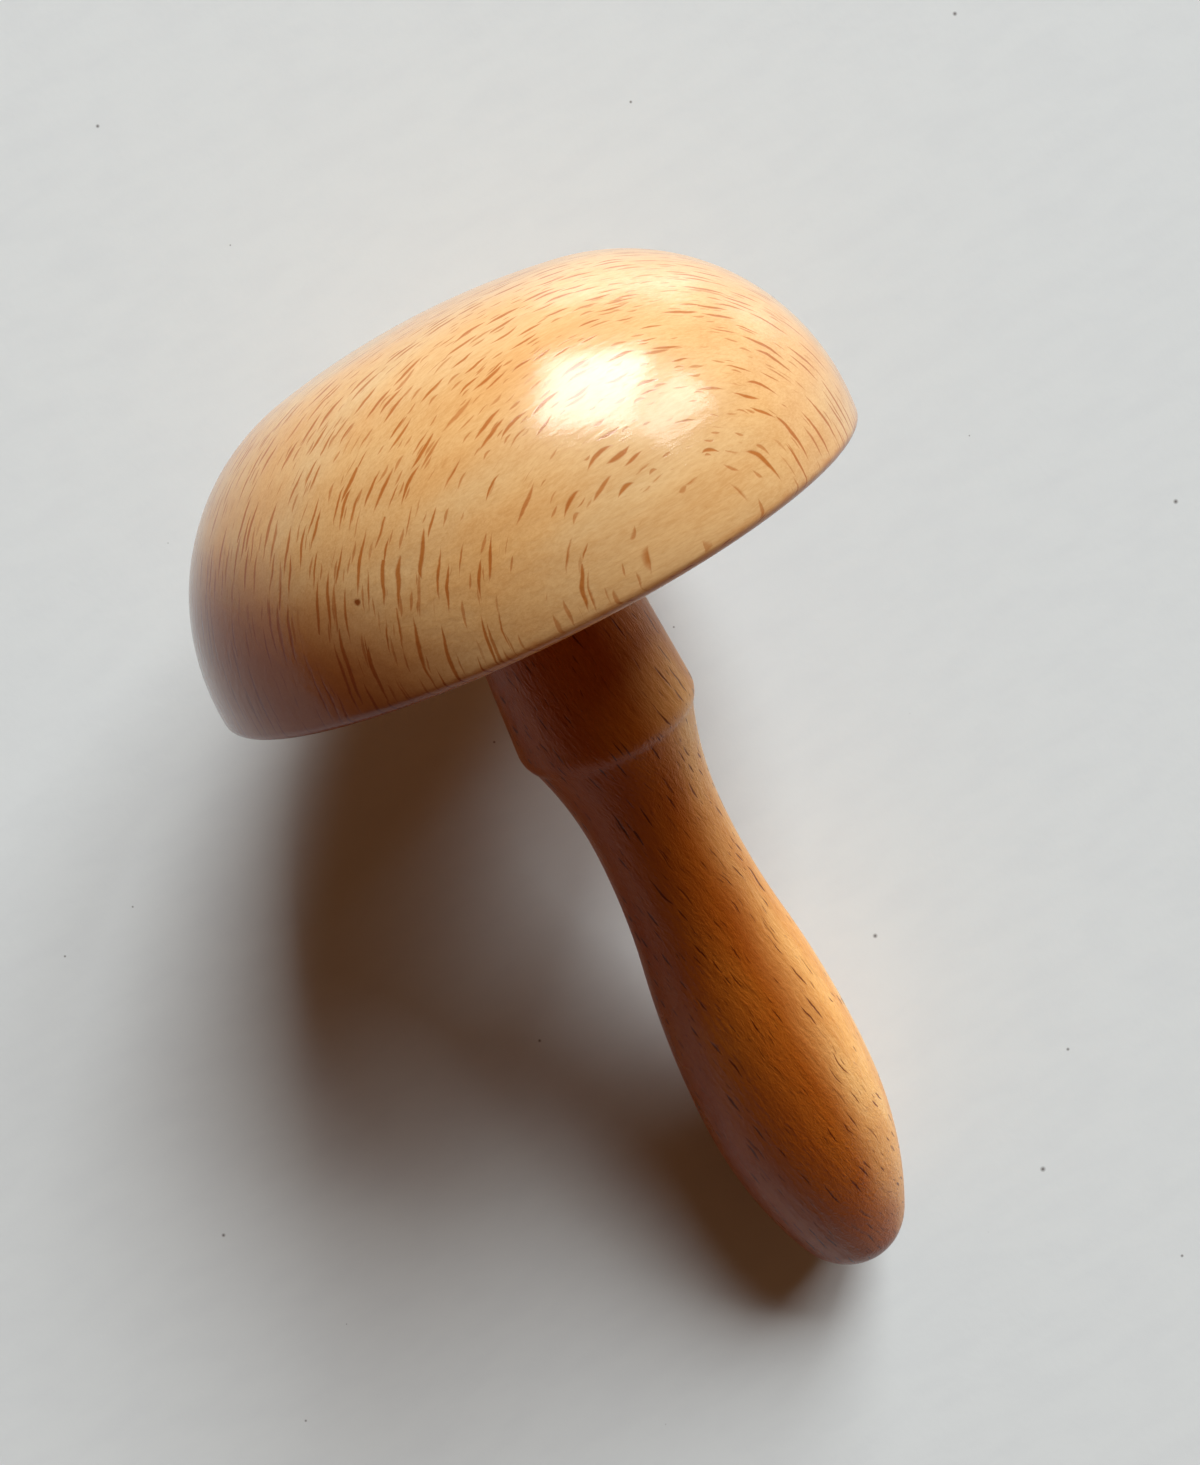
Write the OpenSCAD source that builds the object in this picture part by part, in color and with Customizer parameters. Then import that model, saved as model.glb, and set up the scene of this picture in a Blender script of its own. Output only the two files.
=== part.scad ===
// Darning mushroom, turned in beech.
// A domed cap holds a sock or sleeve taut from inside while the hole in it is darned.
// A waisted handle with a collar is glued by its tenon into a blind bore in the cap.
// The object lies on its side, as it does when it is put down: the rim of the cap and
// the swell of the grip touch the table, and the table is the plane z = 0.
// All sizes are in millimetres.

/* [Cap] */
// Diameter of the cap at its rim
cap_d = 70; // [60:1:80]
// Height of the cap, from its flat underside to the crown
cap_h = 26.5; // [22:0.5:30]
// Radius of the shallow arc over the crown
crown_r = 82; // [70:1:110]
// Rounding of the rim, where the side meets the underside
rim_r = 1; // [0.5:0.1:2]

/* [Joint] */
// Diameter of the blind bore in the underside of the cap
bore_d = 12; // [9:0.5:14]
// Depth of the blind bore
bore_depth = 15; // [10:0.5:17]
// Glue space all round the tenon
glue_gap = 0.1; // [0.05:0.05:0.3]
// Glue space between the end of the tenon and the bottom of the bore
end_gap = 1; // [0.5:0.25:3]
// Chamfer on the end of the tenon
tenon_chamfer = 1; // [0.5:0.25:2]

/* [Collar] */
// Diameter of the neck, where its shoulder seats on the cap
neck_d = 17.4; // [15.6:0.2:19]
// Diameter over the crest of the collar
collar_d = 20.6; // [19:0.2:23]
// Distance of the crest below the cap
collar_at = 18.8; // [17:0.2:22]
// Rounding radius of the crest
crest_r = 3.2; // [2.4:0.2:4]
// Length of the rounding below the crest, down to the crease
crease_drop = 2.1; // [1.5:0.1:2.3]

/* [Grip] */
// Smallest diameter of the handle, at the waist
waist_d = 15.2; // [12:0.2:16.8]
// Distance of the waist below the cap
waist_at = 33.5; // [30:0.5:40]
// Distance below the cap at which the hollow turns into the swell
turn_at = 49.5; // [44:0.5:56]
// Largest diameter of the grip
grip_d = 21.8; // [18:0.2:24]
// Distance of the largest diameter below the cap
grip_at = 72.5; // [64:0.5:76]
// Radius of the rounded end
tail_r = 7.8; // [5:0.2:9]
// Length of the handle below the cap
handle_l = 99; // [88:1:104]

/* [Hidden] */
$fn = 180;
// Largest angle between two points of an outline's arc
arc_step = 2;
// How far a cut runs past the face that it starts from
cut_over = 1;

cap_r = cap_d / 2;
neck_r = neck_d / 2;
collar_r = collar_d / 2;
waist_r = waist_d / 2;
grip_r = grip_d / 2;
tenon_r = bore_d / 2 - glue_gap;
tenon_l = bore_depth - end_gap;

// Outlines are lists of [radius, height]. The underside of the cap is at height 0,
// the crown is above it and the handle below it. Angles are in degrees, counted
// from the outward direction towards the crown.

// Points on an arc round a centre, the last one included and the first one left out
function arc(centre, r, from, to) =
    let (n = ceil(abs(to - from) / arc_step))
    [for (i = [1:n]) let (a = from + (to - from) * i / n) centre + r * [cos(a), sin(a)]];

// Length and direction of a vector in the outline's plane
function long(v) = sqrt(v.x * v.x + v.y * v.y);
function heading(v) = atan2(v.y, v.x);

// The side of the cap is one arc, square to the underside at the rim and tangent
// to the arc over the crown
crown_c = [0, cap_h - crown_r];
crown_drop = rim_r - crown_c.y;
side_r = (crown_r * crown_r - cap_r * cap_r - crown_drop * crown_drop) / (2 * (crown_r - cap_r));
side_c = [cap_r - side_r, rim_r];
rim_c = [cap_r - rim_r, rim_r];
side_end = heading(side_c - crown_c);

cap_outline = concat(
    [[0, 0], [rim_c.x, 0]],
    arc(rim_c, rim_r, -90, 0),
    arc(side_c, side_r, 0, side_end),
    arc(crown_c, crown_r, side_end, 90)
);

// The neck is a cone that runs tangent into the rounded crest of the collar
crest_c = [collar_r - crest_r, -collar_at];
neck_seat = [neck_r, 0];
crest_from = heading(neck_seat - crest_c) - acos(crest_r / long(neck_seat - crest_c));
crest_to = -asin(crease_drop / crest_r);
crease = crest_c + crest_r * [cos(crest_to), sin(crest_to)];

// The waist falls from the crease in one hollow arc that is level at the waist
waist = [waist_r, -waist_at];
cove_h = crease.y - waist.y;
cove_r = (cove_h * cove_h + pow(crease.x - waist.x, 2)) / (2 * (crease.x - waist.x));
cove_c = waist + [cove_r, 0];

// A hollow arc and a swelling arc, tangent where they turn, join the waist to the grip
grip = [grip_r, -grip_at];
swell_h = waist.y - grip.y;
swell_out = grip.x - waist.x;
both_r = (swell_h * swell_h + swell_out * swell_out) / (2 * swell_out);
hollow_r = both_r * (turn_at - waist_at) / (grip_at - waist_at);
swell_r = both_r - hollow_r;
turn_angle = asin(swell_h / both_r);
hollow_c = waist + [hollow_r, 0];
swell_c = grip - [swell_r, 0];

// Below the grip the outline closes in on a ball at the end
tail_c = [0, tail_r - handle_l];
tail_h = grip.y - tail_c.y;
close_r = (tail_h * tail_h + grip_r * grip_r - tail_r * tail_r) / (2 * (grip_r - tail_r));
close_c = grip - [close_r, 0];
tail_from = -asin(tail_h / (close_r - tail_r));

handle_outline = concat(
    [[0, tenon_l], [tenon_r - tenon_chamfer, tenon_l], [tenon_r, tenon_l - tenon_chamfer]],
    [[tenon_r, 0], neck_seat, crest_c + crest_r * [cos(crest_from), sin(crest_from)]],
    arc(crest_c, crest_r, crest_from, crest_to),
    arc(cove_c, cove_r, heading(crease - cove_c), 180),
    arc(hollow_c, hollow_r, 180, 180 + turn_angle),
    arc(swell_c, swell_r, turn_angle, 0),
    arc(close_c, close_r, 0, tail_from),
    arc(tail_c, tail_r, tail_from, -90)
);

// How far the axis leans when the table touches both the rim and a round stretch
// of the grip, given by its centre and radius
function lean_on(c, r) =
    heading([rim_c.y - c.y, rim_c.x - c.x]) - asin((r - rim_r) / long(rim_c - c));

lean_on_swell = lean_on(close_c, close_r);
lean = lean_on_swell <= -tail_from ? lean_on_swell : lean_on(tail_c, tail_r);

// How far an outline reaches in one direction of its plane
function reach(outline, direction) = max([for (p = outline) p * direction]);

axis_height = reach(cap_outline, [cos(lean), -sin(lean)]);
crown_reach = reach(cap_outline, [sin(lean), cos(lean)]);
tail_reach = reach(handle_outline, [sin(lean), -cos(lean)]);

// Lays a turned piece down, with the middle of the whole object over the origin
module laid() {
    translate([(crown_reach - tail_reach) / 2, 0, axis_height])
        rotate([0, lean - 90, 0])
            children();
}

module turned(outline) {
    rotate_extrude()
        polygon(outline);
}

module cap() {
    color([0.86, 0.66, 0.40])
        laid()
            difference() {
                turned(cap_outline);
                translate([0, 0, -cut_over])
                    cylinder(d = bore_d, h = bore_depth + cut_over);
            }
}

module handle() {
    color([0.66, 0.38, 0.19])
        laid()
            turned(handle_outline);
}

cap();
handle();
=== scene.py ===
import math

import bpy
from mathutils import Matrix, Vector


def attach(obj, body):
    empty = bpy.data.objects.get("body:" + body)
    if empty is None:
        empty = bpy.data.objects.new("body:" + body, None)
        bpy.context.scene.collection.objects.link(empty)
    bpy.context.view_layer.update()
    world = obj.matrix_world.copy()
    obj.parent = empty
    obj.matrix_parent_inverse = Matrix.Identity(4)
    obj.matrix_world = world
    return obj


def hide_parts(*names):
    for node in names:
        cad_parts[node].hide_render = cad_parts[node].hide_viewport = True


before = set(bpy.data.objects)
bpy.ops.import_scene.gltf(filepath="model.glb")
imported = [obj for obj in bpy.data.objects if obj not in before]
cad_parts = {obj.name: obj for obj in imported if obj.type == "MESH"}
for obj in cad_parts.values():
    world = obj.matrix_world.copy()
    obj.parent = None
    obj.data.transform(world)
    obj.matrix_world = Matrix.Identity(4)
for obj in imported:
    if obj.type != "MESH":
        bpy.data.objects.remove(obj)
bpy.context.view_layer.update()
print("frame loaded:", ", ".join(sorted(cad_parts)))

# A darning mushroom turned in beech, lying on its rim and on the swell of its grip.
# Everything is in metres. Outlines are [radius, height] from the cap's underside, crown up.

capSizes = {
    "diameter": 0.070,
    "height": 0.0265,
    "crownRadius": 0.082,
    "rimRadius": 0.001,
    "boreDiameter": 0.012,
    "boreDepth": 0.015,
    "facetsAround": 320,
    "pointSpacing": 0.0005,
}

handleSizes = {
    "glueGap": 0.0001,
    "endGap": 0.001,
    "tenonChamfer": 0.001,
    "neckDiameter": 0.0174,
    "collarDiameter": 0.0206,
    "collarAt": 0.0188,
    "crestRadius": 0.0032,
    "creaseDrop": 0.0021,
    "waistDiameter": 0.0152,
    "waistAt": 0.0335,
    "turnAt": 0.0495,
    "gripDiameter": 0.0218,
    "gripAt": 0.0725,
    "tailRadius": 0.0078,
    "length": 0.099,
    "facetsAround": 240,
    "pointSpacing": 0.0005,
}


# outlines of the two turnings
def corner(label, radius, height):
    return {"label": label, "centre": (radius, height), "radius": 0.0, "start": 0.0, "end": 0.0}


def arc(label, centre, radius, start, end):
    return {"label": label, "centre": centre, "radius": radius, "start": start, "end": end}


def heading(run, rise):
    return math.atan2(rise, run)


def capOutline(sizes):
    capRadius, rimRadius, crownRadius = sizes["diameter"] / 2, sizes["rimRadius"], sizes["crownRadius"]
    crownCentre = sizes["height"] - crownRadius
    crownDrop = rimRadius - crownCentre
    sideRadius = (crownRadius ** 2 - capRadius ** 2 - crownDrop ** 2) / (2 * (crownRadius - capRadius))
    sideCentre = capRadius - sideRadius
    sideEnd = heading(sideCentre, rimRadius - crownCentre)
    boreRadius, boreDepth = sizes["boreDiameter"] / 2, sizes["boreDepth"]
    return [
        corner("bore centre", 0.0, boreDepth),
        corner("bore corner", boreRadius, boreDepth),
        corner("bore mouth", boreRadius, 0.0),
        arc("rim", (capRadius - rimRadius, rimRadius), rimRadius, -math.pi / 2, 0.0),
        arc("side", (sideCentre, rimRadius), sideRadius, 0.0, sideEnd),
        arc("crown", (0.0, crownCentre), crownRadius, sideEnd, math.pi / 2),
    ]


def handleOutline(sizes, cap):
    tenonRadius = cap["boreDiameter"] / 2 - sizes["glueGap"]
    tenonLength = cap["boreDepth"] - sizes["endGap"]
    chamfer = sizes["tenonChamfer"]
    neckRadius, crestRadius = sizes["neckDiameter"] / 2, sizes["crestRadius"]

    # the neck is a cone that runs tangent into the crest of the collar
    crest = (sizes["collarDiameter"] / 2 - crestRadius, -sizes["collarAt"])
    toSeat = (neckRadius - crest[0], -crest[1])
    crestStart = heading(*toSeat) - math.acos(crestRadius / math.hypot(*toSeat))
    crestEnd = -math.asin(sizes["creaseDrop"] / crestRadius)
    crease = (crest[0] + crestRadius * math.cos(crestEnd), crest[1] + crestRadius * math.sin(crestEnd))

    # a hollow arc from the crease, level at the waist
    waist = (sizes["waistDiameter"] / 2, -sizes["waistAt"])
    coveHeight, coveIn = crease[1] - waist[1], crease[0] - waist[0]
    coveRadius = (coveHeight ** 2 + coveIn ** 2) / (2 * coveIn)
    cove = (waist[0] + coveRadius, waist[1])

    # a hollow and a swelling arc, tangent where they turn
    grip = (sizes["gripDiameter"] / 2, -sizes["gripAt"])
    swellHeight, swellOut = waist[1] - grip[1], grip[0] - waist[0]
    bothRadii = (swellHeight ** 2 + swellOut ** 2) / (2 * swellOut)
    hollowShare = (sizes["turnAt"] - sizes["waistAt"]) / (sizes["gripAt"] - sizes["waistAt"])
    hollowRadius = bothRadii * hollowShare
    swellRadius = bothRadii - hollowRadius
    turnAngle = math.asin(swellHeight / bothRadii)

    # the ball at the end, and the arc that closes in on it
    tailRadius = sizes["tailRadius"]
    tail = (0.0, tailRadius - sizes["length"])
    tailHeight = grip[1] - tail[1]
    closeRadius = (tailHeight ** 2 + grip[0] ** 2 - tailRadius ** 2) / (2 * (grip[0] - tailRadius))
    tailStart = -math.asin(tailHeight / (closeRadius - tailRadius))
    return [
        corner("tenon centre", 0.0, tenonLength),
        corner("tenon end", tenonRadius - chamfer, tenonLength),
        corner("tenon chamfer", tenonRadius, tenonLength - chamfer),
        corner("tenon root", tenonRadius, 0.0),
        corner("neck seat", neckRadius, 0.0),
        arc("crest", crest, crestRadius, crestStart, crestEnd),
        arc("cove", cove, coveRadius, heading(crease[0] - cove[0], crease[1] - cove[1]), math.pi),
        arc("hollow", (waist[0] + hollowRadius, waist[1]), hollowRadius, math.pi, math.pi + turnAngle),
        arc("swell", (grip[0] - swellRadius, grip[1]), swellRadius, turnAngle, 0.0),
        arc("close", (grip[0] - closeRadius, grip[1]), closeRadius, 0.0, tailStart),
        arc("tail", tail, tailRadius, tailStart, -math.pi / 2),
    ]


def farthest(outline, run, rise):
    # how far an outline reaches in one direction of its plane
    steps = 200
    reach = []
    for bend in outline:
        for step in range(steps + 1):
            angle = bend["start"] + (bend["end"] - bend["start"]) * step / steps
            radius = bend["centre"][0] + bend["radius"] * math.cos(angle)
            height = bend["centre"][1] + bend["radius"] * math.sin(angle)
            reach.append(radius * run + height * rise)
    return max(reach)


def layDown(cap, handle):
    # the table touches the rounding of the rim and the arc below the grip
    rim = next(bend for bend in cap if bend["label"] == "rim")
    close = next(bend for bend in handle if bend["label"] == "close")
    across = (rim["centre"][0] - close["centre"][0], rim["centre"][1] - close["centre"][1])
    apart = math.hypot(*across)
    lean = heading(across[1], across[0]) - math.asin((close["radius"] - rim["radius"]) / apart)
    axisHeight = farthest(cap, math.cos(lean), -math.sin(lean))
    crownReach = farthest(cap, math.sin(lean), math.cos(lean))
    tailReach = farthest(handle, math.sin(lean), -math.cos(lean))
    middle = Matrix.Translation(((crownReach - tailReach) / 2, 0.0, axisHeight))
    return middle @ Matrix.Rotation(lean - math.pi / 2, 4, "Y")


# nodes, and the geometry nodes that turn an outline about its axis
def addNode(tree, kind, inputs=None, **settings):
    made = tree.nodes.new(kind)
    for name, value in settings.items():
        setattr(made, name, value)
    for name, value in (inputs or {}).items():
        if isinstance(value, bpy.types.NodeSocket):
            tree.links.new(value, made.inputs[name])
        else:
            made.inputs[name].default_value = value
    return made


# points nearer than this merge at the axis, and steeper edges than this stay sharp
lathe = {"mergeWithin": 0.000001, "sharpOver": math.radians(24), "fewestPoints": 8}


def turningTree(name, outline):
    tree = bpy.data.node_groups.new(name, "GeometryNodeTree")
    tree.interface.new_socket(name="Geometry", in_out="OUTPUT", socket_type="NodeSocketGeometry")
    tree.interface.new_socket(name="Facets around", in_out="INPUT", socket_type="NodeSocketInt")
    tree.interface.new_socket(name="Wood", in_out="INPUT", socket_type="NodeSocketMaterial")
    for bend in outline:
        tree.interface.new_socket(
            name=bend["label"] + " centre", in_out="INPUT", socket_type="NodeSocketVector")
        if bend["radius"]:
            for size in ("radius", "start", "sweep", "points"):
                kind = "Int" if size == "points" else "Float"
                tree.interface.new_socket(
                    name=bend["label"] + " " + size, in_out="INPUT", socket_type="NodeSocket" + kind)
    given = addNode(tree, "NodeGroupInput").outputs

    # every corner and arc gives its points, joined in order from the last to the first
    joined = addNode(tree, "GeometryNodeJoinGeometry")
    for bend in reversed(outline):
        label = bend["label"]
        if bend["radius"]:
            curve = addNode(tree, "GeometryNodeCurveArc", {
                "Resolution": given[label + " points"], "Radius": given[label + " radius"],
                "Start Angle": given[label + " start"],
                "Sweep Angle": given[label + " sweep"]}, mode="RADIUS")
            placed = addNode(tree, "GeometryNodeTransform", {
                "Geometry": curve.outputs["Curve"], "Translation": given[label + " centre"]})
            points = addNode(tree, "GeometryNodeCurveToPoints", {
                "Curve": placed.outputs["Geometry"]}, mode="EVALUATED")
        else:
            points = addNode(tree, "GeometryNodePoints", {
                "Count": 1, "Position": given[label + " centre"]})
        tree.links.new(points.outputs["Points"], joined.inputs["Geometry"])

    counted = addNode(tree, "GeometryNodeAttributeDomainSize", {
        "Geometry": joined.outputs["Geometry"]}, component="POINTCLOUD").outputs["Point Count"]
    around = addNode(tree, "FunctionNodeIntegerMath", {
        0: given["Facets around"], 1: 1}, operation="ADD").outputs["Value"]
    grid = addNode(tree, "GeometryNodeMeshGrid", {"Vertices X": around, "Vertices Y": counted})
    index = addNode(tree, "GeometryNodeInputIndex").outputs["Index"]
    row = addNode(tree, "FunctionNodeIntegerMath", {
        0: index, 1: counted}, operation="MODULO").outputs["Value"]
    column = addNode(tree, "FunctionNodeIntegerMath", {
        0: index, 1: counted}, operation="DIVIDE_FLOOR").outputs["Value"]
    outlinePoint = addNode(tree, "GeometryNodeSampleIndex", data_type="FLOAT_VECTOR")
    tree.links.new(joined.outputs["Geometry"], outlinePoint.inputs["Geometry"])
    position = addNode(tree, "GeometryNodeInputPosition").outputs["Position"]
    tree.links.new(position, outlinePoint.inputs["Value"])
    tree.links.new(row, outlinePoint.inputs["Index"])
    split = addNode(tree, "ShaderNodeSeparateXYZ", {0: outlinePoint.outputs["Value"]})

    def maths(operation, *values):
        return addNode(tree, "ShaderNodeMath", dict(enumerate(values)), operation=operation).outputs[0]

    angle = maths("MULTIPLY", maths("DIVIDE", column, given["Facets around"]), math.tau)
    turnedX = maths("MULTIPLY", split.outputs["X"], maths("COSINE", angle))
    turnedY = maths("MULTIPLY", split.outputs["X"], maths("SINE", angle))
    turned = addNode(tree, "ShaderNodeCombineXYZ", {"X": turnedX, "Y": turnedY, "Z": split.outputs["Y"]})
    shaped = addNode(tree, "GeometryNodeSetPosition", {
        "Geometry": grid.outputs["Mesh"], "Position": turned.outputs["Vector"]})
    closed = addNode(tree, "GeometryNodeMergeByDistance", {
        "Geometry": shaped.outputs["Geometry"], "Distance": lathe["mergeWithin"]})
    soft = addNode(tree, "GeometryNodeSetShadeSmooth", {"Geometry": closed.outputs["Geometry"]})
    edgeAngle = addNode(tree, "GeometryNodeInputMeshEdgeAngle").outputs["Unsigned Angle"]
    creased = addNode(tree, "GeometryNodeSetShadeSmooth", {
        "Geometry": soft.outputs["Geometry"], "Shade Smooth": False,
        "Selection": maths("GREATER_THAN", edgeAngle, lathe["sharpOver"])}, domain="EDGE")
    realized = addNode(tree, "GeometryNodeRealizeInstances", {"Geometry": creased.outputs["Geometry"]})
    dressed = addNode(tree, "GeometryNodeSetMaterial", {
        "Geometry": realized.outputs["Geometry"], "Material": given["Wood"]})
    addNode(tree, "NodeGroupOutput", {"Geometry": dressed.outputs["Geometry"]})
    return tree


def turnPiece(name, outline, sizes, wood, laid):
    tree = turningTree(name + " turning", outline)
    values = {"Facets around": sizes["facetsAround"], "Wood": wood}
    for bend in outline:
        values[bend["label"] + " centre"] = (*bend["centre"], 0.0)
        values[bend["label"] + " radius"] = bend["radius"]
        values[bend["label"] + " start"] = bend["start"]
        values[bend["label"] + " sweep"] = bend["end"] - bend["start"]
        length = abs(bend["end"] - bend["start"]) * bend["radius"]
        points = math.ceil(length / sizes["pointSpacing"])
        values[bend["label"] + " points"] = max(lathe["fewestPoints"], points)
    blank = bpy.data.objects.new(name + "Blank", bpy.data.meshes.new(name + "Blank"))
    bpy.context.scene.collection.objects.link(blank)
    turning = blank.modifiers.new("turning", "NODES")
    turning.node_group = tree
    for socket in tree.interface.items_tree:
        if socket.in_out == "INPUT":
            turning[socket.identifier] = values[socket.name]
    bpy.context.view_layer.update()
    evaluated = blank.evaluated_get(bpy.context.evaluated_depsgraph_get())
    mesh = bpy.data.meshes.new_from_object(evaluated)
    blank.modifiers.remove(turning)
    bpy.data.objects.remove(blank)
    mesh.name = name
    mesh.transform(laid)
    piece = bpy.data.objects.new(name, mesh)
    bpy.context.scene.collection.objects.link(piece)
    print(name, "turned:", len(mesh.polygons), "faces")
    return piece


# beech: colours, and a figure in grain space, in millimetres
capBeech = {
    "paleWood": (0.67, 0.440, 0.215, 1.0),
    "warmWood": (0.68, 0.375, 0.140, 1.0),
    "rayTint": (0.66, 0.38, 0.19, 1.0),
    "fibreTint": (0.90, 0.83, 0.74, 1.0),
    "ringTint": (0.97, 0.94, 0.91, 1.0),
    # painted shade: the tint below, with the way, start and end given further down, darkens the cap's
    # side away from the windows, towards the rim
    "shadedSideTint": (0.46, 0.22, 0.07, 1.0),
    "wornTint": (0.80, 0.56, 0.36, 1.0),
    "knotTint": (0.40, 0.18, 0.07, 1.0),
    "grainTurn": math.radians(15),
    "raySpacing": (4.0, 0.92, 6.4),
    "raySize": (2.00, 0.225, 4.0),
    "raysMissing": -0.3,
    "poleRadius": 35.0,
    "poleCrowding": 0.26,
    # painted shade: where the side tint darkens the cap, in grain millimetres
    "shadedSideWay": (1.0, 0.0, -0.6),
    "shadedSideFrom": 15.0,
    "shadedSideTo": 26.5,
    "knotAt": (23.49, 24.06, 9.09),
    "knotSize": 0.42,
    "wornWay": (0.0, 0.0, 1.0),
    "wornFrom": 1.3,
    "wornTo": 0.3,
    "roughFrom": 0.10,
    "roughTo": 0.15,
    "relief": 0.25,
    "reliefDepth": 0.00005,
    "coarseness": 0.3,
    "specular": 0.25,
    "haze": 0.30,
    "hazeRoughness": 0.32,
}

handleBeech = {
    "paleWood": (0.90, 0.580, 0.240, 1.0),
    "warmWood": (0.78, 0.390, 0.110, 1.0),
    "rayTint": (0.28, 0.15, 0.09, 1.0),
    "fibreTint": (0.84, 0.73, 0.60, 1.0),
    "ringTint": (0.93, 0.86, 0.78, 1.0),
    # painted shade: the tint below darkens the handle's side away from the windows and its neck, which
    # lie in the cap's shadow
    "shadedSideTint": (0.43, 0.195, 0.05, 1.0),
    "wornTint": (0.62, 0.42, 0.30, 1.0),
    "knotTint": (0.30, 0.15, 0.08, 1.0),
    "grainSlope": math.radians(12),
    "raySpacing": (6.0, 0.95, 1.2),
    "raySize": (2.6, 0.15, 0.45),
    "raysMissing": -0.05,
    "poleRadius": 35.0,
    "poleCrowding": 0.0,
    # painted shade: where the side tint darkens the handle, strongest at the neck
    "shadedSideWay": (-0.2, -1.0, 0.0),
    "shadedSideFrom": -8.6,
    "shadedSideTo": -0.6,
    "knotAt": (0.0, 0.0, 0.0),
    "knotSize": 0.4,
    "wornWay": (-1.0, 0.0, 0.0),
    "wornFrom": -98.0,
    "wornTo": -99.0,
    "roughFrom": 0.22,
    "roughTo": 0.34,
    "relief": 0.75,
    "reliefDepth": 0.00005,
    "coarseness": 3.6,
    "specular": 0.25,
    "haze": 0.0,
    "hazeRoughness": 0.4,
}

# how beech is built up, the same in both pieces
figureLook = {
    "waveDetail": 2.0,
    "waveScale": 0.09,
    "wavePush": (0.0, 1.6, 0.8),
    "ragScale": 0.45,
    "ragPush": (0.6, 0.35, 0.6),
    "polePower": 6.0,
    "poleShortening": -0.4,
    "rayScatter": 0.8,
    "smallestRay": 0.65,
    "rayGrowth": 0.5,
    "rayBend": 3.0,
    "rayEdge": 0.4,
    "rayFading": 0.5,
    "longRays": {
        "spacing": (1.0, 1.0, 1.0), "size": (1.0, 1.0, 1.0),
        "shift": (3.1, 2.17, 4.03), "scarcer": 0.0},
    "shortRays": {
        "spacing": (0.6, 0.7, 0.6), "size": (0.42, 0.7, 0.42),
        "shift": (8.7, 6.09, 11.31), "scarcer": 0.2},
    "shortRayStrength": 0.7,
    "fibres": {"scale": (0.8, 6.0, 5.0), "detail": 3.0, "roughness": 0.7},
    "bundles": {"scale": (0.16, 1.6, 1.2), "detail": 1.0, "roughness": 0.5},
    "figure": {"scale": (0.03, 0.16, 0.10), "detail": 2.0, "roughness": 0.5},
    "pits": {"scale": (0.9, 1.9, 1.9), "detail": 2.0, "roughness": 0.6},
    "ringBow": 0.006,
    "ringPitch": 1.7,
    "knotRaggedness": 0.8,
    "knotBlur": 0.3,
    "wornRaggedness": 1.2,
    "wornRoughness": 1.2,
    "bundleShare": 0.25,
    "bundleHeight": 2.5,
    "rayHeight": -0.4,
    "figureRange": (0.3, 0.7),
    "fibreRange": (0.38, 0.62),
    "roughRange": (0.3, 0.7),
}


def groupSockets(tree, side, kind, names):
    for name in names:
        tree.interface.new_socket(name=name, in_out=side, socket_type="NodeSocket" + kind)


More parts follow.
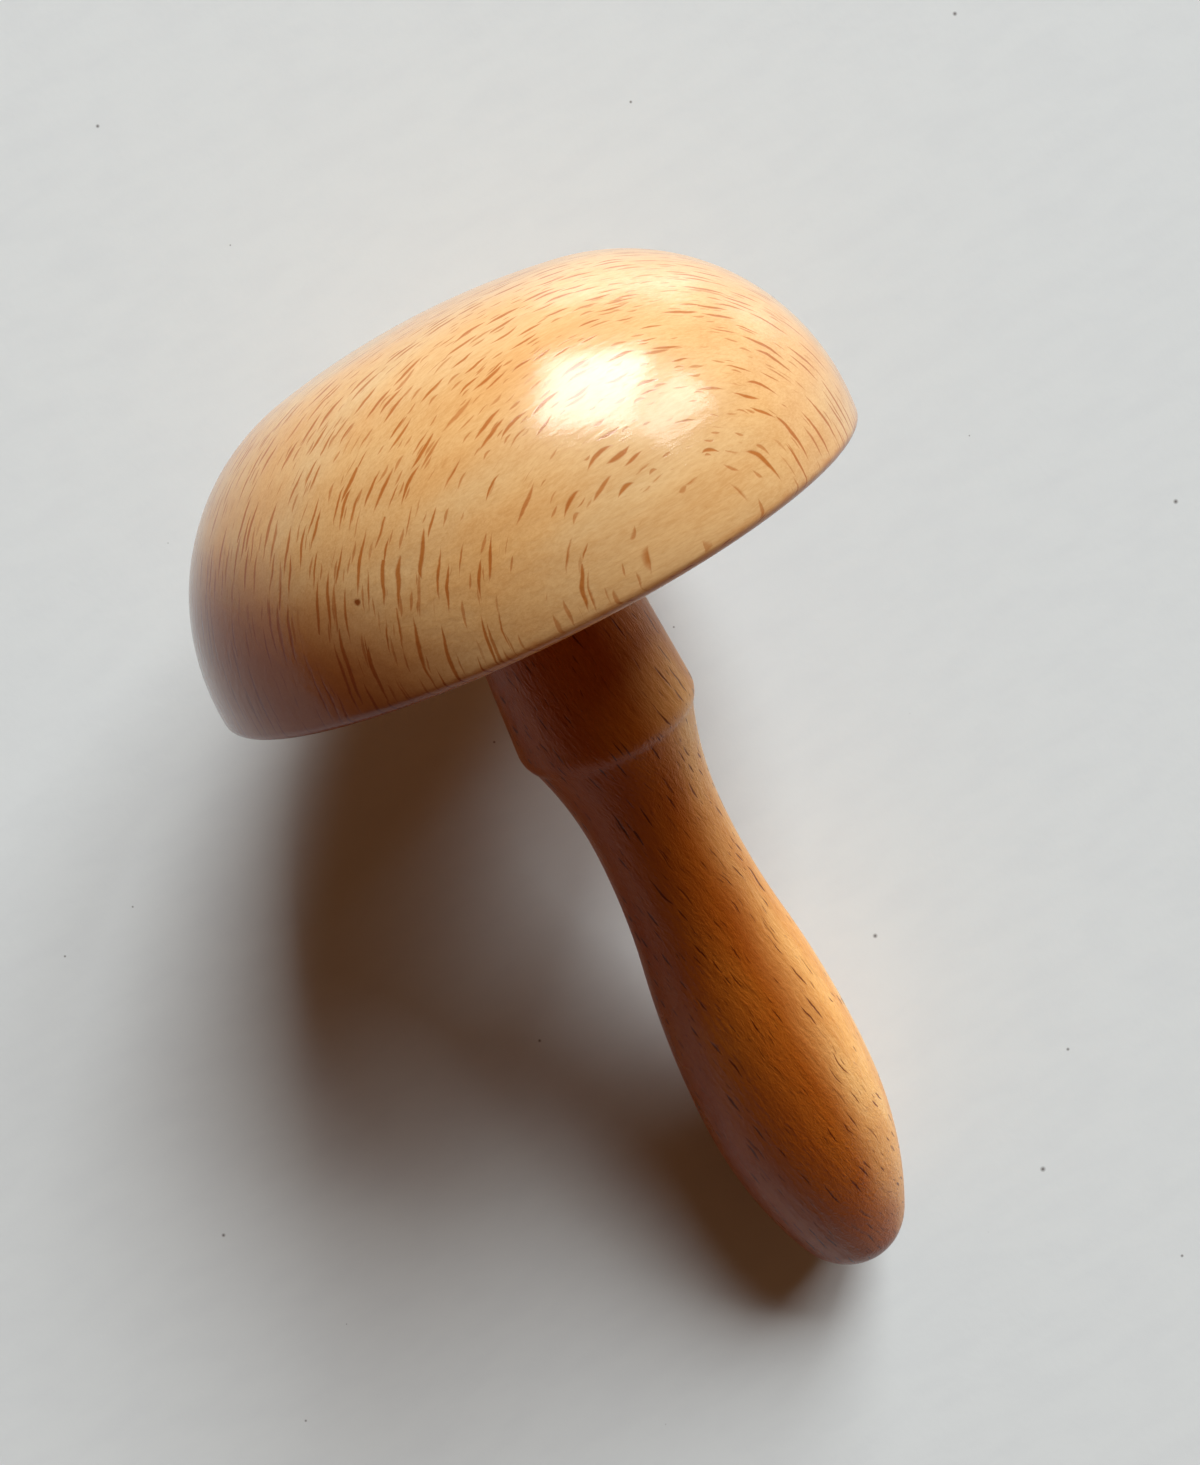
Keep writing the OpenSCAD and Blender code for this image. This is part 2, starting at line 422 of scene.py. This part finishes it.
def beechFigureGroup(look):
    # in grain space x runs along the fibres, y across the rays and z out from the pith
    tree = bpy.data.node_groups.new("beech figure", "ShaderNodeTree")
    groupSockets(tree, "INPUT", "Vector", (
        "Grain", "Ray spacing", "Ray size", "Shaded side way", "Knot at", "Worn way"))
    groupSockets(tree, "INPUT", "Float", (
        "Rays missing", "Pole radius", "Pole crowding", "Shaded side from", "Shaded side to", "Knot size",
        "Coarseness", "Worn from", "Worn to"))
    groupSockets(tree, "OUTPUT", "Float", (
        "Rays", "Fibres", "Rings", "Shaded side", "Knot", "Figure", "Worn", "Roughness", "Height"))
    given = addNode(tree, "NodeGroupInput").outputs
    grain = given["Grain"]

    def maths(operation, *values):
        return addNode(tree, "ShaderNodeMath", dict(enumerate(values)), operation=operation).outputs[0]

    def vectors(operation, *values):
        return addNode(tree, "ShaderNodeVectorMath", dict(enumerate(values)), operation=operation).outputs

    def eased(value, fromMin, fromMax):
        return addNode(tree, "ShaderNodeMapRange", {
            "Value": value, "From Min": fromMin, "From Max": fromMax},
            interpolation_type="SMOOTHSTEP").outputs["Result"]

    def pushedBy(vector, scale, amount):
        wave = addNode(tree, "ShaderNodeTexNoise", {
            "Vector": vector, "Scale": scale, "Detail": look["waveDetail"]})
        centred = vectors("SUBTRACT", wave.outputs["Color"], (0.5, 0.5, 0.5))[0]
        return vectors("MULTIPLY_ADD", centred, amount, vector)[0]

    # the rays crowd and thin towards the poles, where the surface lies flat on them
    places = addNode(tree, "ShaderNodeSeparateXYZ", {0: grain}).outputs
    share = maths("DIVIDE", places["Y"], given["Pole radius"])
    pole = maths("POWER", maths("ABSOLUTE", share), look["polePower"])
    crowd = maths("MULTIPLY", maths("MULTIPLY", pole, given["Pole crowding"]), places["Y"])
    crowding = addNode(tree, "ShaderNodeCombineXYZ", {"Y": crowd}).outputs["Vector"]
    crowded = vectors("ADD", grain, crowding)[0]
    shortened = maths("MULTIPLY_ADD", pole, look["poleShortening"], 1.0)
    wavy = pushedBy(grain, look["waveScale"], look["wavePush"])
    waved = pushedBy(crowded, look["waveScale"], look["wavePush"])
    ragged = pushedBy(waved, look["ragScale"], look["ragPush"])

    # each cell holds one ray: a lens, thin across y, a little bent and of its own size
    def rayCells(kind):
        spacing = vectors("MULTIPLY", given["Ray spacing"], kind["spacing"])[0]
        shifted = vectors("ADD", vectors("DIVIDE", ragged, spacing)[0], kind["shift"])[0]
        cells = addNode(tree, "ShaderNodeTexVoronoi", {
            "Vector": shifted, "Scale": 1.0, "Randomness": look["rayScatter"]}, feature="F1").outputs
        luck = addNode(tree, "ShaderNodeSeparateColor", {"Color": cells["Color"]}).outputs
        away = vectors("MULTIPLY", vectors("SUBTRACT", shifted, cells["Position"])[0], spacing)[0]
        own = maths("MULTIPLY_ADD", luck["Blue"], look["rayGrowth"], look["smallestRay"])
        long = maths("MULTIPLY", own, shortened)
        growth = addNode(tree, "ShaderNodeCombineXYZ", {"X": long, "Y": own, "Z": long})
        usual = vectors("MULTIPLY", given["Ray size"], kind["size"])[0]
        size = vectors("MULTIPLY", usual, growth.outputs["Vector"])[0]
        part = addNode(tree, "ShaderNodeSeparateXYZ", {0: vectors("DIVIDE", away, size)[0]}).outputs
        alongSquared = maths("MULTIPLY", part["X"], part["X"])
        lengthwise = maths("MULTIPLY_ADD", part["Z"], part["Z"], alongSquared)
        bend = maths("MULTIPLY", maths("SUBTRACT", luck["Red"], 0.5), alongSquared)
        across = maths("ABSOLUTE", maths("MULTIPLY_ADD", bend, look["rayBend"], part["Y"]))
        body = eased(maths("ADD", across, lengthwise), 1.0, look["rayEdge"])
        missing = maths("ADD", given["Rays missing"], kind["scarcer"])
        kept = eased(luck["Green"], missing, maths("ADD", missing, look["rayFading"]))
        return maths("MULTIPLY", body, kept)

    shortRays = maths("MULTIPLY", rayCells(look["shortRays"]), look["shortRayStrength"])
    rays = maths("MAXIMUM", rayCells(look["longRays"]), shortRays)

    def streaks(kind):
        return addNode(tree, "ShaderNodeTexNoise", {
            "Vector": vectors("MULTIPLY", wavy, kind["scale"])[0], "Scale": 1.0,
            "Detail": kind["detail"], "Roughness": kind["roughness"]}).outputs["Fac"]

    fibres = streaks(look["fibres"])
    bundles = streaks(look["bundles"])
    figure = streaks(look["figure"])
    pits = streaks(look["pits"])

    # year rings curve over the pith, which lies below the piece
    ringPlace = addNode(tree, "ShaderNodeSeparateXYZ", {0: wavy}).outputs
    bow = maths("MULTIPLY", ringPlace["Y"], ringPlace["Y"])
    ringHeight = maths("MULTIPLY_ADD", bow, look["ringBow"], ringPlace["Z"])
    rings = eased(maths("SINE", maths("MULTIPLY", ringHeight, look["ringPitch"])), -1.0, 1.0)
    # painted shade: one side of the piece darkened along a given way, for the shade away from the windows
    alongShadedSide = vectors("DOT_PRODUCT", wavy, given["Shaded side way"])["Value"]
    shadedSide = eased(alongShadedSide, given["Shaded side from"], given["Shaded side to"])
    toKnot = vectors("DISTANCE", grain, given["Knot at"])["Value"]
    fromKnot = maths("MULTIPLY_ADD", pits, look["knotRaggedness"], toKnot)
    knotEdge = maths("ADD", given["Knot size"], look["knotRaggedness"] / 2)
    knot = eased(fromKnot, knotEdge, maths("SUBTRACT", knotEdge, look["knotBlur"]))

    # the finish is worn along an edge, raggedly
    fromEdge = vectors("DOT_PRODUCT", grain, given["Worn way"])["Value"]
    raggedEdge = maths("MULTIPLY_ADD", maths("SUBTRACT", bundles, 0.5), look["wornRaggedness"], fromEdge)
    worn = eased(raggedEdge, given["Worn from"], given["Worn to"])
    roughness = maths("MAXIMUM", figure, maths("MULTIPLY", worn, look["wornRoughness"]))
    coarse = maths("MULTIPLY", maths("ABSOLUTE", maths("SUBTRACT", pits, 0.5)), given["Coarseness"])
    ridges = maths("ADD", coarse, maths("MULTIPLY_ADD", bundles, look["bundleHeight"], fibres))
    height = maths("MULTIPLY_ADD", rays, look["rayHeight"], ridges)
    fine = maths("MULTIPLY", fibres, 1.0 - look["bundleShare"])
    mingled = maths("MULTIPLY_ADD", bundles, look["bundleShare"], fine)
    addNode(tree, "NodeGroupOutput", {
        "Rays": rays, "Fibres": mingled, "Rings": rings, "Shaded side": shadedSide, "Knot": knot,
        "Figure": figure, "Worn": worn, "Roughness": roughness, "Height": height})
    return tree


def tinted(tree, factor, first, second, blend="MULTIPLY"):
    # the colour sockets of a Mix node come after those for numbers and vectors
    mixer = addNode(tree, "ShaderNodeMix", {
        0: factor, 6: first, 7: second}, data_type="RGBA", blend_type=blend)
    return mixer.outputs[2]


def grainVector(tree, grainToRow):
    # from the row frame in metres to the grain's own directions in millimetres
    position = addNode(tree, "ShaderNodeTexCoord").outputs["Object"]
    toGrain = grainToRow.inverted()
    perMetre = 1000.0
    turned = addNode(tree, "ShaderNodeMapping", {
        "Vector": position, "Location": toGrain.translation * perMetre,
        "Rotation": toGrain.to_euler(), "Scale": (perMetre, perMetre, perMetre)})
    return turned.outputs["Vector"]


def beech(name, look, figureLook, grainToRow, figureGroup):
    wood = bpy.data.materials.new(name)
    wood.use_nodes = True
    tree = wood.node_tree
    tree.nodes.clear()
    figure = addNode(tree, "ShaderNodeGroup", node_tree=figureGroup)
    tree.links.new(grainVector(tree, grainToRow), figure.inputs["Grain"])
    for label, size in (
            ("Ray spacing", "raySpacing"), ("Ray size", "raySize"), ("Rays missing", "raysMissing"),
            ("Pole radius", "poleRadius"), ("Pole crowding", "poleCrowding"), ("Shaded side way", "shadedSideWay"),
            ("Shaded side from", "shadedSideFrom"), ("Shaded side to", "shadedSideTo"), ("Knot at", "knotAt"),
            ("Knot size", "knotSize"), ("Coarseness", "coarseness"), ("Worn way", "wornWay"),
            ("Worn from", "wornFrom"), ("Worn to", "wornTo")):
        figure.inputs[label].default_value = look[size]

    def ranged(output, limits, toMin=0.0, toMax=1.0, clamp=True):
        return addNode(tree, "ShaderNodeMapRange", {
            "Value": figure.outputs[output], "From Min": limits[0], "From Max": limits[1],
            "To Min": toMin, "To Max": toMax}, clamp=clamp).outputs["Result"]

    streaked = ranged("Figure", figureLook["figureRange"])
    colour = tinted(tree, streaked, look["paleWood"], look["warmWood"], "MIX")
    colour = tinted(tree, figure.outputs["Rings"], colour, look["ringTint"])
    colour = tinted(tree, ranged("Fibres", figureLook["fibreRange"]), colour, look["fibreTint"])
    # painted shade: the side tint darkens the side away from the windows
    colour = tinted(tree, figure.outputs["Shaded side"], colour, look["shadedSideTint"])
    colour = tinted(tree, figure.outputs["Rays"], colour, look["rayTint"])
    colour = tinted(tree, figure.outputs["Knot"], colour, look["knotTint"])
    colour = tinted(tree, figure.outputs["Worn"], colour, look["wornTint"])
    relief = addNode(tree, "ShaderNodeBump", {
        "Strength": look["relief"], "Distance": look["reliefDepth"], "Height": figure.outputs["Height"]})
    rough = ranged("Roughness", figureLook["roughRange"], look["roughFrom"], look["roughTo"], clamp=False)
    skin = addNode(tree, "ShaderNodeBsdfPrincipled", {
        "Base Color": colour, "Normal": relief.outputs["Normal"], "Roughness": rough,
        "Specular IOR Level": look["specular"], "Coat Weight": look["haze"],
        "Coat Roughness": look["hazeRoughness"]})
    addNode(tree, "ShaderNodeOutputMaterial", {"Surface": skin.outputs["BSDF"]})
    return wood


capBends = capOutline(capSizes)
handleBends = handleOutline(handleSizes, capSizes)
laid = layDown(capBends, handleBends)

figureGroup = beechFigureGroup(figureLook)
# cap: the board lies flat on the lathe, so the pith is below the underside
capGrain = laid @ Matrix.Rotation(capBeech["grainTurn"] - math.pi / 2, 4, "Z")
# handle: the fibres run along the axis, a little off it
downHandle = Matrix.Rotation(math.pi / 2, 4, "Y")
handleGrain = laid @ Matrix.Rotation(handleBeech["grainSlope"], 4, "X") @ downHandle
capWood = beech("capBeech", capBeech, figureLook, capGrain, figureGroup)
handleWood = beech("handleBeech", handleBeech, figureLook, handleGrain, figureGroup)
print("beech mixed")

cap = turnPiece("turnedCap", capBends, capSizes, capWood, laid)
handle = turnPiece("turnedHandle", handleBends, handleSizes, handleWood, laid)
for piece, node, slotName in ((cap, "cap", "cap_beech"), (handle, "handle", "handle_beech")):
    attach(piece, "root")
    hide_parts(node)

# table, windows and room
tableLook = {
    "reach": 3.0,
    "paint": (0.645, 0.665, 0.67, 1.0),
    "roughness": 0.19,
    "specular": 0.18,
    "detail": 3.0,
    "stippleScale": 900.0,
    "stippleRelief": 0.25,
    "stippleDepth": 0.00005,
    "brushScale": (320.0, 120.0, 120.0),
    "brushFrom": 0.4,
    "brushTo": 0.7,
    "speckSpacing": 0.034,
    "speckSize": 0.00045,
    "speck": (0.13, 0.10, 0.09, 1.0),
    "brushed": (0.975, 0.975, 0.98, 1.0),
    "fadeFrom": 0.16,
    "fadeTo": 0.5,
}

windowLook = {
    "distance": 6.0,
    "colour": (0.935, 0.99, 1.0),
    "left": {"azimuth": 144.7, "elevation": 29.7, "halfWide": 12.9, "halfHigh": 15.4, "radiance": 20.2},
    "right": {"azimuth": 117.3, "elevation": 30.0, "halfWide": 7.4, "halfHigh": 12.4, "radiance": 11.0},
}

roomLook = {
    "fill": (0.127, 0.058, 0.026, 1.0),
    "fillAtFoot": 3.3,
    "fillOverhead": 0.2,
    "pale": (0.62, 0.625, 0.62, 1.0),
    "paleUpTo": 0.02,
    "paleGoneAt": 0.032,
    "overheadFrom": 0.8,
}


def seenFactor(tree):
    rays = addNode(tree, "ShaderNodeLightPath").outputs
    both = addNode(tree, "ShaderNodeMath", {
        0: rays["Is Camera Ray"], 1: rays["Is Glossy Ray"]}, operation="ADD").outputs[0]
    return addNode(tree, "ShaderNodeMath", {
        0: both, 1: rays["Is Transmission Ray"]}, operation="ADD", use_clamp=True).outputs[0]


def paintedTable():
    paint = bpy.data.materials.new("tablePaint")
    paint.use_nodes = True
    tree = paint.node_tree
    tree.nodes.clear()
    position = addNode(tree, "ShaderNodeTexCoord").outputs["Object"]
    stipple = addNode(tree, "ShaderNodeTexNoise", {
        "Vector": position, "Scale": tableLook["stippleScale"], "Detail": tableLook["detail"]})
    relief = addNode(tree, "ShaderNodeBump", {
        "Strength": tableLook["stippleRelief"], "Distance": tableLook["stippleDepth"],
        "Height": stipple.outputs["Fac"]})
    # faint brush marks along one way, and a few specks
    combed = addNode(tree, "ShaderNodeVectorMath", {
        0: position, 1: tableLook["brushScale"]}, operation="MULTIPLY").outputs[0]
    brush = addNode(tree, "ShaderNodeTexNoise", {
        "Vector": combed, "Scale": 1.0, "Detail": tableLook["detail"]}).outputs["Fac"]
    marks = addNode(tree, "ShaderNodeMapRange", {
        "Value": brush, "From Min": tableLook["brushFrom"],
        "From Max": tableLook["brushTo"]}).outputs["Result"]
    speckSize = tableLook["speckSize"] / tableLook["speckSpacing"]
    cells = addNode(tree, "ShaderNodeTexVoronoi", {
        "Vector": position, "Scale": 1.0 / tableLook["speckSpacing"]}, voronoi_dimensions="2D")
    luck = addNode(tree, "ShaderNodeSeparateColor", {"Color": cells.outputs["Color"]}).outputs["Red"]
    ownSize = addNode(tree, "ShaderNodeMath", {0: luck, 1: speckSize}, operation="MULTIPLY").outputs[0]
    specks = addNode(tree, "ShaderNodeMapRange", {
        "Value": cells.outputs["Distance"], "From Min": ownSize, "From Max": 0.0}).outputs["Result"]
    colour = tinted(tree, marks, tableLook["paint"], tableLook["brushed"])
    colour = tinted(tree, specks, colour, tableLook["speck"])
    skin = addNode(tree, "ShaderNodeBsdfPrincipled", {
        "Base Color": colour, "Roughness": tableLook["roughness"],
        "Specular IOR Level": tableLook["specular"], "Normal": relief.outputs["Normal"]})
    # the wood mirrors a glossy table, the eye sees a plain one, so low views show no glare
    dull = addNode(tree, "ShaderNodeBsdfPrincipled", {
        "Base Color": colour, "Roughness": 1.0, "Specular IOR Level": 0.0,
        "Normal": relief.outputs["Normal"]})
    cameraRay = addNode(tree, "ShaderNodeLightPath").outputs["Is Camera Ray"]
    painted = addNode(tree, "ShaderNodeMixShader", {
        0: cameraRay, 1: skin.outputs["BSDF"], 2: dull.outputs["BSDF"]}).outputs["Shader"]
    pale = addNode(tree, "ShaderNodeEmission", {"Color": roomLook["pale"], "Strength": 1.0})
    away = addNode(tree, "ShaderNodeVectorMath", {0: position}, operation="LENGTH").outputs["Value"]
    fade = addNode(tree, "ShaderNodeMapRange", {
        "Value": away, "From Min": tableLook["fadeFrom"], "From Max": tableLook["fadeTo"]},
        interpolation_type="SMOOTHSTEP").outputs["Result"]
    factor = addNode(tree, "ShaderNodeMath", {
        0: fade, 1: seenFactor(tree)}, operation="MULTIPLY").outputs[0]
    mixed = addNode(tree, "ShaderNodeMixShader", {
        0: factor, 1: painted, 2: pale.outputs["Emission"]})
    addNode(tree, "ShaderNodeOutputMaterial", {"Surface": mixed.outputs["Shader"]})
    return paint


def addTable():
    mesh = bpy.data.meshes.new("table")
    reach = tableLook["reach"]
    corners = [(-reach, -reach, 0), (reach, -reach, 0), (reach, reach, 0), (-reach, reach, 0)]
    mesh.from_pydata(corners, [], [(0, 1, 2, 3)])
    mesh.materials.append(paintedTable())
    table = bpy.data.objects.new("table", mesh)
    bpy.context.scene.collection.objects.link(table)


def addWindow(name, look, distance):
    azimuth, elevation = math.radians(look["azimuth"]), math.radians(look["elevation"])
    level = math.cos(elevation)
    toWindow = Vector((math.cos(azimuth) * level, math.sin(azimuth) * level, math.sin(elevation)))
    light = bpy.data.lights.new(name, "AREA")
    light.shape = "RECTANGLE"
    light.size = 2 * distance * math.tan(math.radians(look["halfWide"]))
    light.size_y = 2 * distance * math.tan(math.radians(look["halfHigh"]))
    light.color = windowLook["colour"]
    light.energy = look["radiance"] * math.pi * light.size * light.size_y
    lamp = bpy.data.objects.new(name, light)
    lamp.location = toWindow * distance
    lamp.rotation_euler = toWindow.to_track_quat("Z", "Y").to_euler()
    lamp.visible_camera = False
    bpy.context.scene.collection.objects.link(lamp)


def addRoom():
    # the room is dim and warm; a pale wall shows behind, and gloss sees only its foot
    world = bpy.data.worlds.new("room")
    bpy.context.scene.world = world
    world.use_nodes = True
    tree = world.node_tree
    tree.nodes.clear()
    rays = addNode(tree, "ShaderNodeLightPath").outputs
    direction = addNode(tree, "ShaderNodeTexCoord").outputs["Generated"]
    height = addNode(tree, "ShaderNodeSeparateXYZ", {0: direction}).outputs["Z"]
    foot = addNode(tree, "ShaderNodeMapRange", {
        "Value": height, "From Min": roomLook["paleUpTo"], "From Max": roomLook["paleGoneAt"],
        "To Min": 1.0, "To Max": 0.0}, interpolation_type="SMOOTHSTEP").outputs["Result"]
    glossy = addNode(tree, "ShaderNodeMath", {
        0: rays["Is Glossy Ray"], 1: rays["Is Transmission Ray"]},
        operation="ADD", use_clamp=True).outputs[0]
    seen = addNode(tree, "ShaderNodeMath", {
        0: glossy, 1: foot, 2: rays["Is Camera Ray"]},
        operation="MULTIPLY_ADD", use_clamp=True).outputs[0]
    dimming = addNode(tree, "ShaderNodeMapRange", {
        "Value": height, "From Min": 0.0, "From Max": roomLook["overheadFrom"],
        "To Min": roomLook["fillAtFoot"], "To Max": roomLook["fillOverhead"]}).outputs["Result"]
    fill = addNode(tree, "ShaderNodeBackground", {"Color": roomLook["fill"], "Strength": dimming})
    pale = addNode(tree, "ShaderNodeBackground", {"Color": roomLook["pale"], "Strength": 1.0})
    mixed = addNode(tree, "ShaderNodeMixShader", {
        0: seen, 1: fill.outputs["Background"], 2: pale.outputs["Background"]})
    addNode(tree, "ShaderNodeOutputWorld", {"Surface": mixed.outputs["Shader"]})


addTable()
addWindow("windowLeft", windowLook["left"], windowLook["distance"])
addWindow("windowRight", windowLook["right"], windowLook["distance"])
addRoom()
print("table and windows set")

# camera
cameraLook = {
    "place": (-0.0222, -0.01281, 0.15509),
    "tiltX": -0.01455,
    "tiltY": -0.02538,
    "roll": 1.08316,
    "lens": 28.787,
    "shiftX": 0.0683,
    "sensorWidth": 36.0,
    "clipStart": 0.01,
}
camera = bpy.data.objects.new("camera", bpy.data.cameras.new("camera"))
bpy.context.scene.collection.objects.link(camera)
camera.location = cameraLook["place"]
camera.rotation_euler = (cameraLook["tiltX"], cameraLook["tiltY"], cameraLook["roll"])
camera.data.sensor_width = cameraLook["sensorWidth"]
camera.data.lens = cameraLook["lens"]
camera.data.shift_x = cameraLook["shiftX"]
camera.data.clip_start = cameraLook["clipStart"]
bpy.context.scene.camera = camera
bpy.context.scene.view_settings.view_transform = "Standard"
print("camera set")
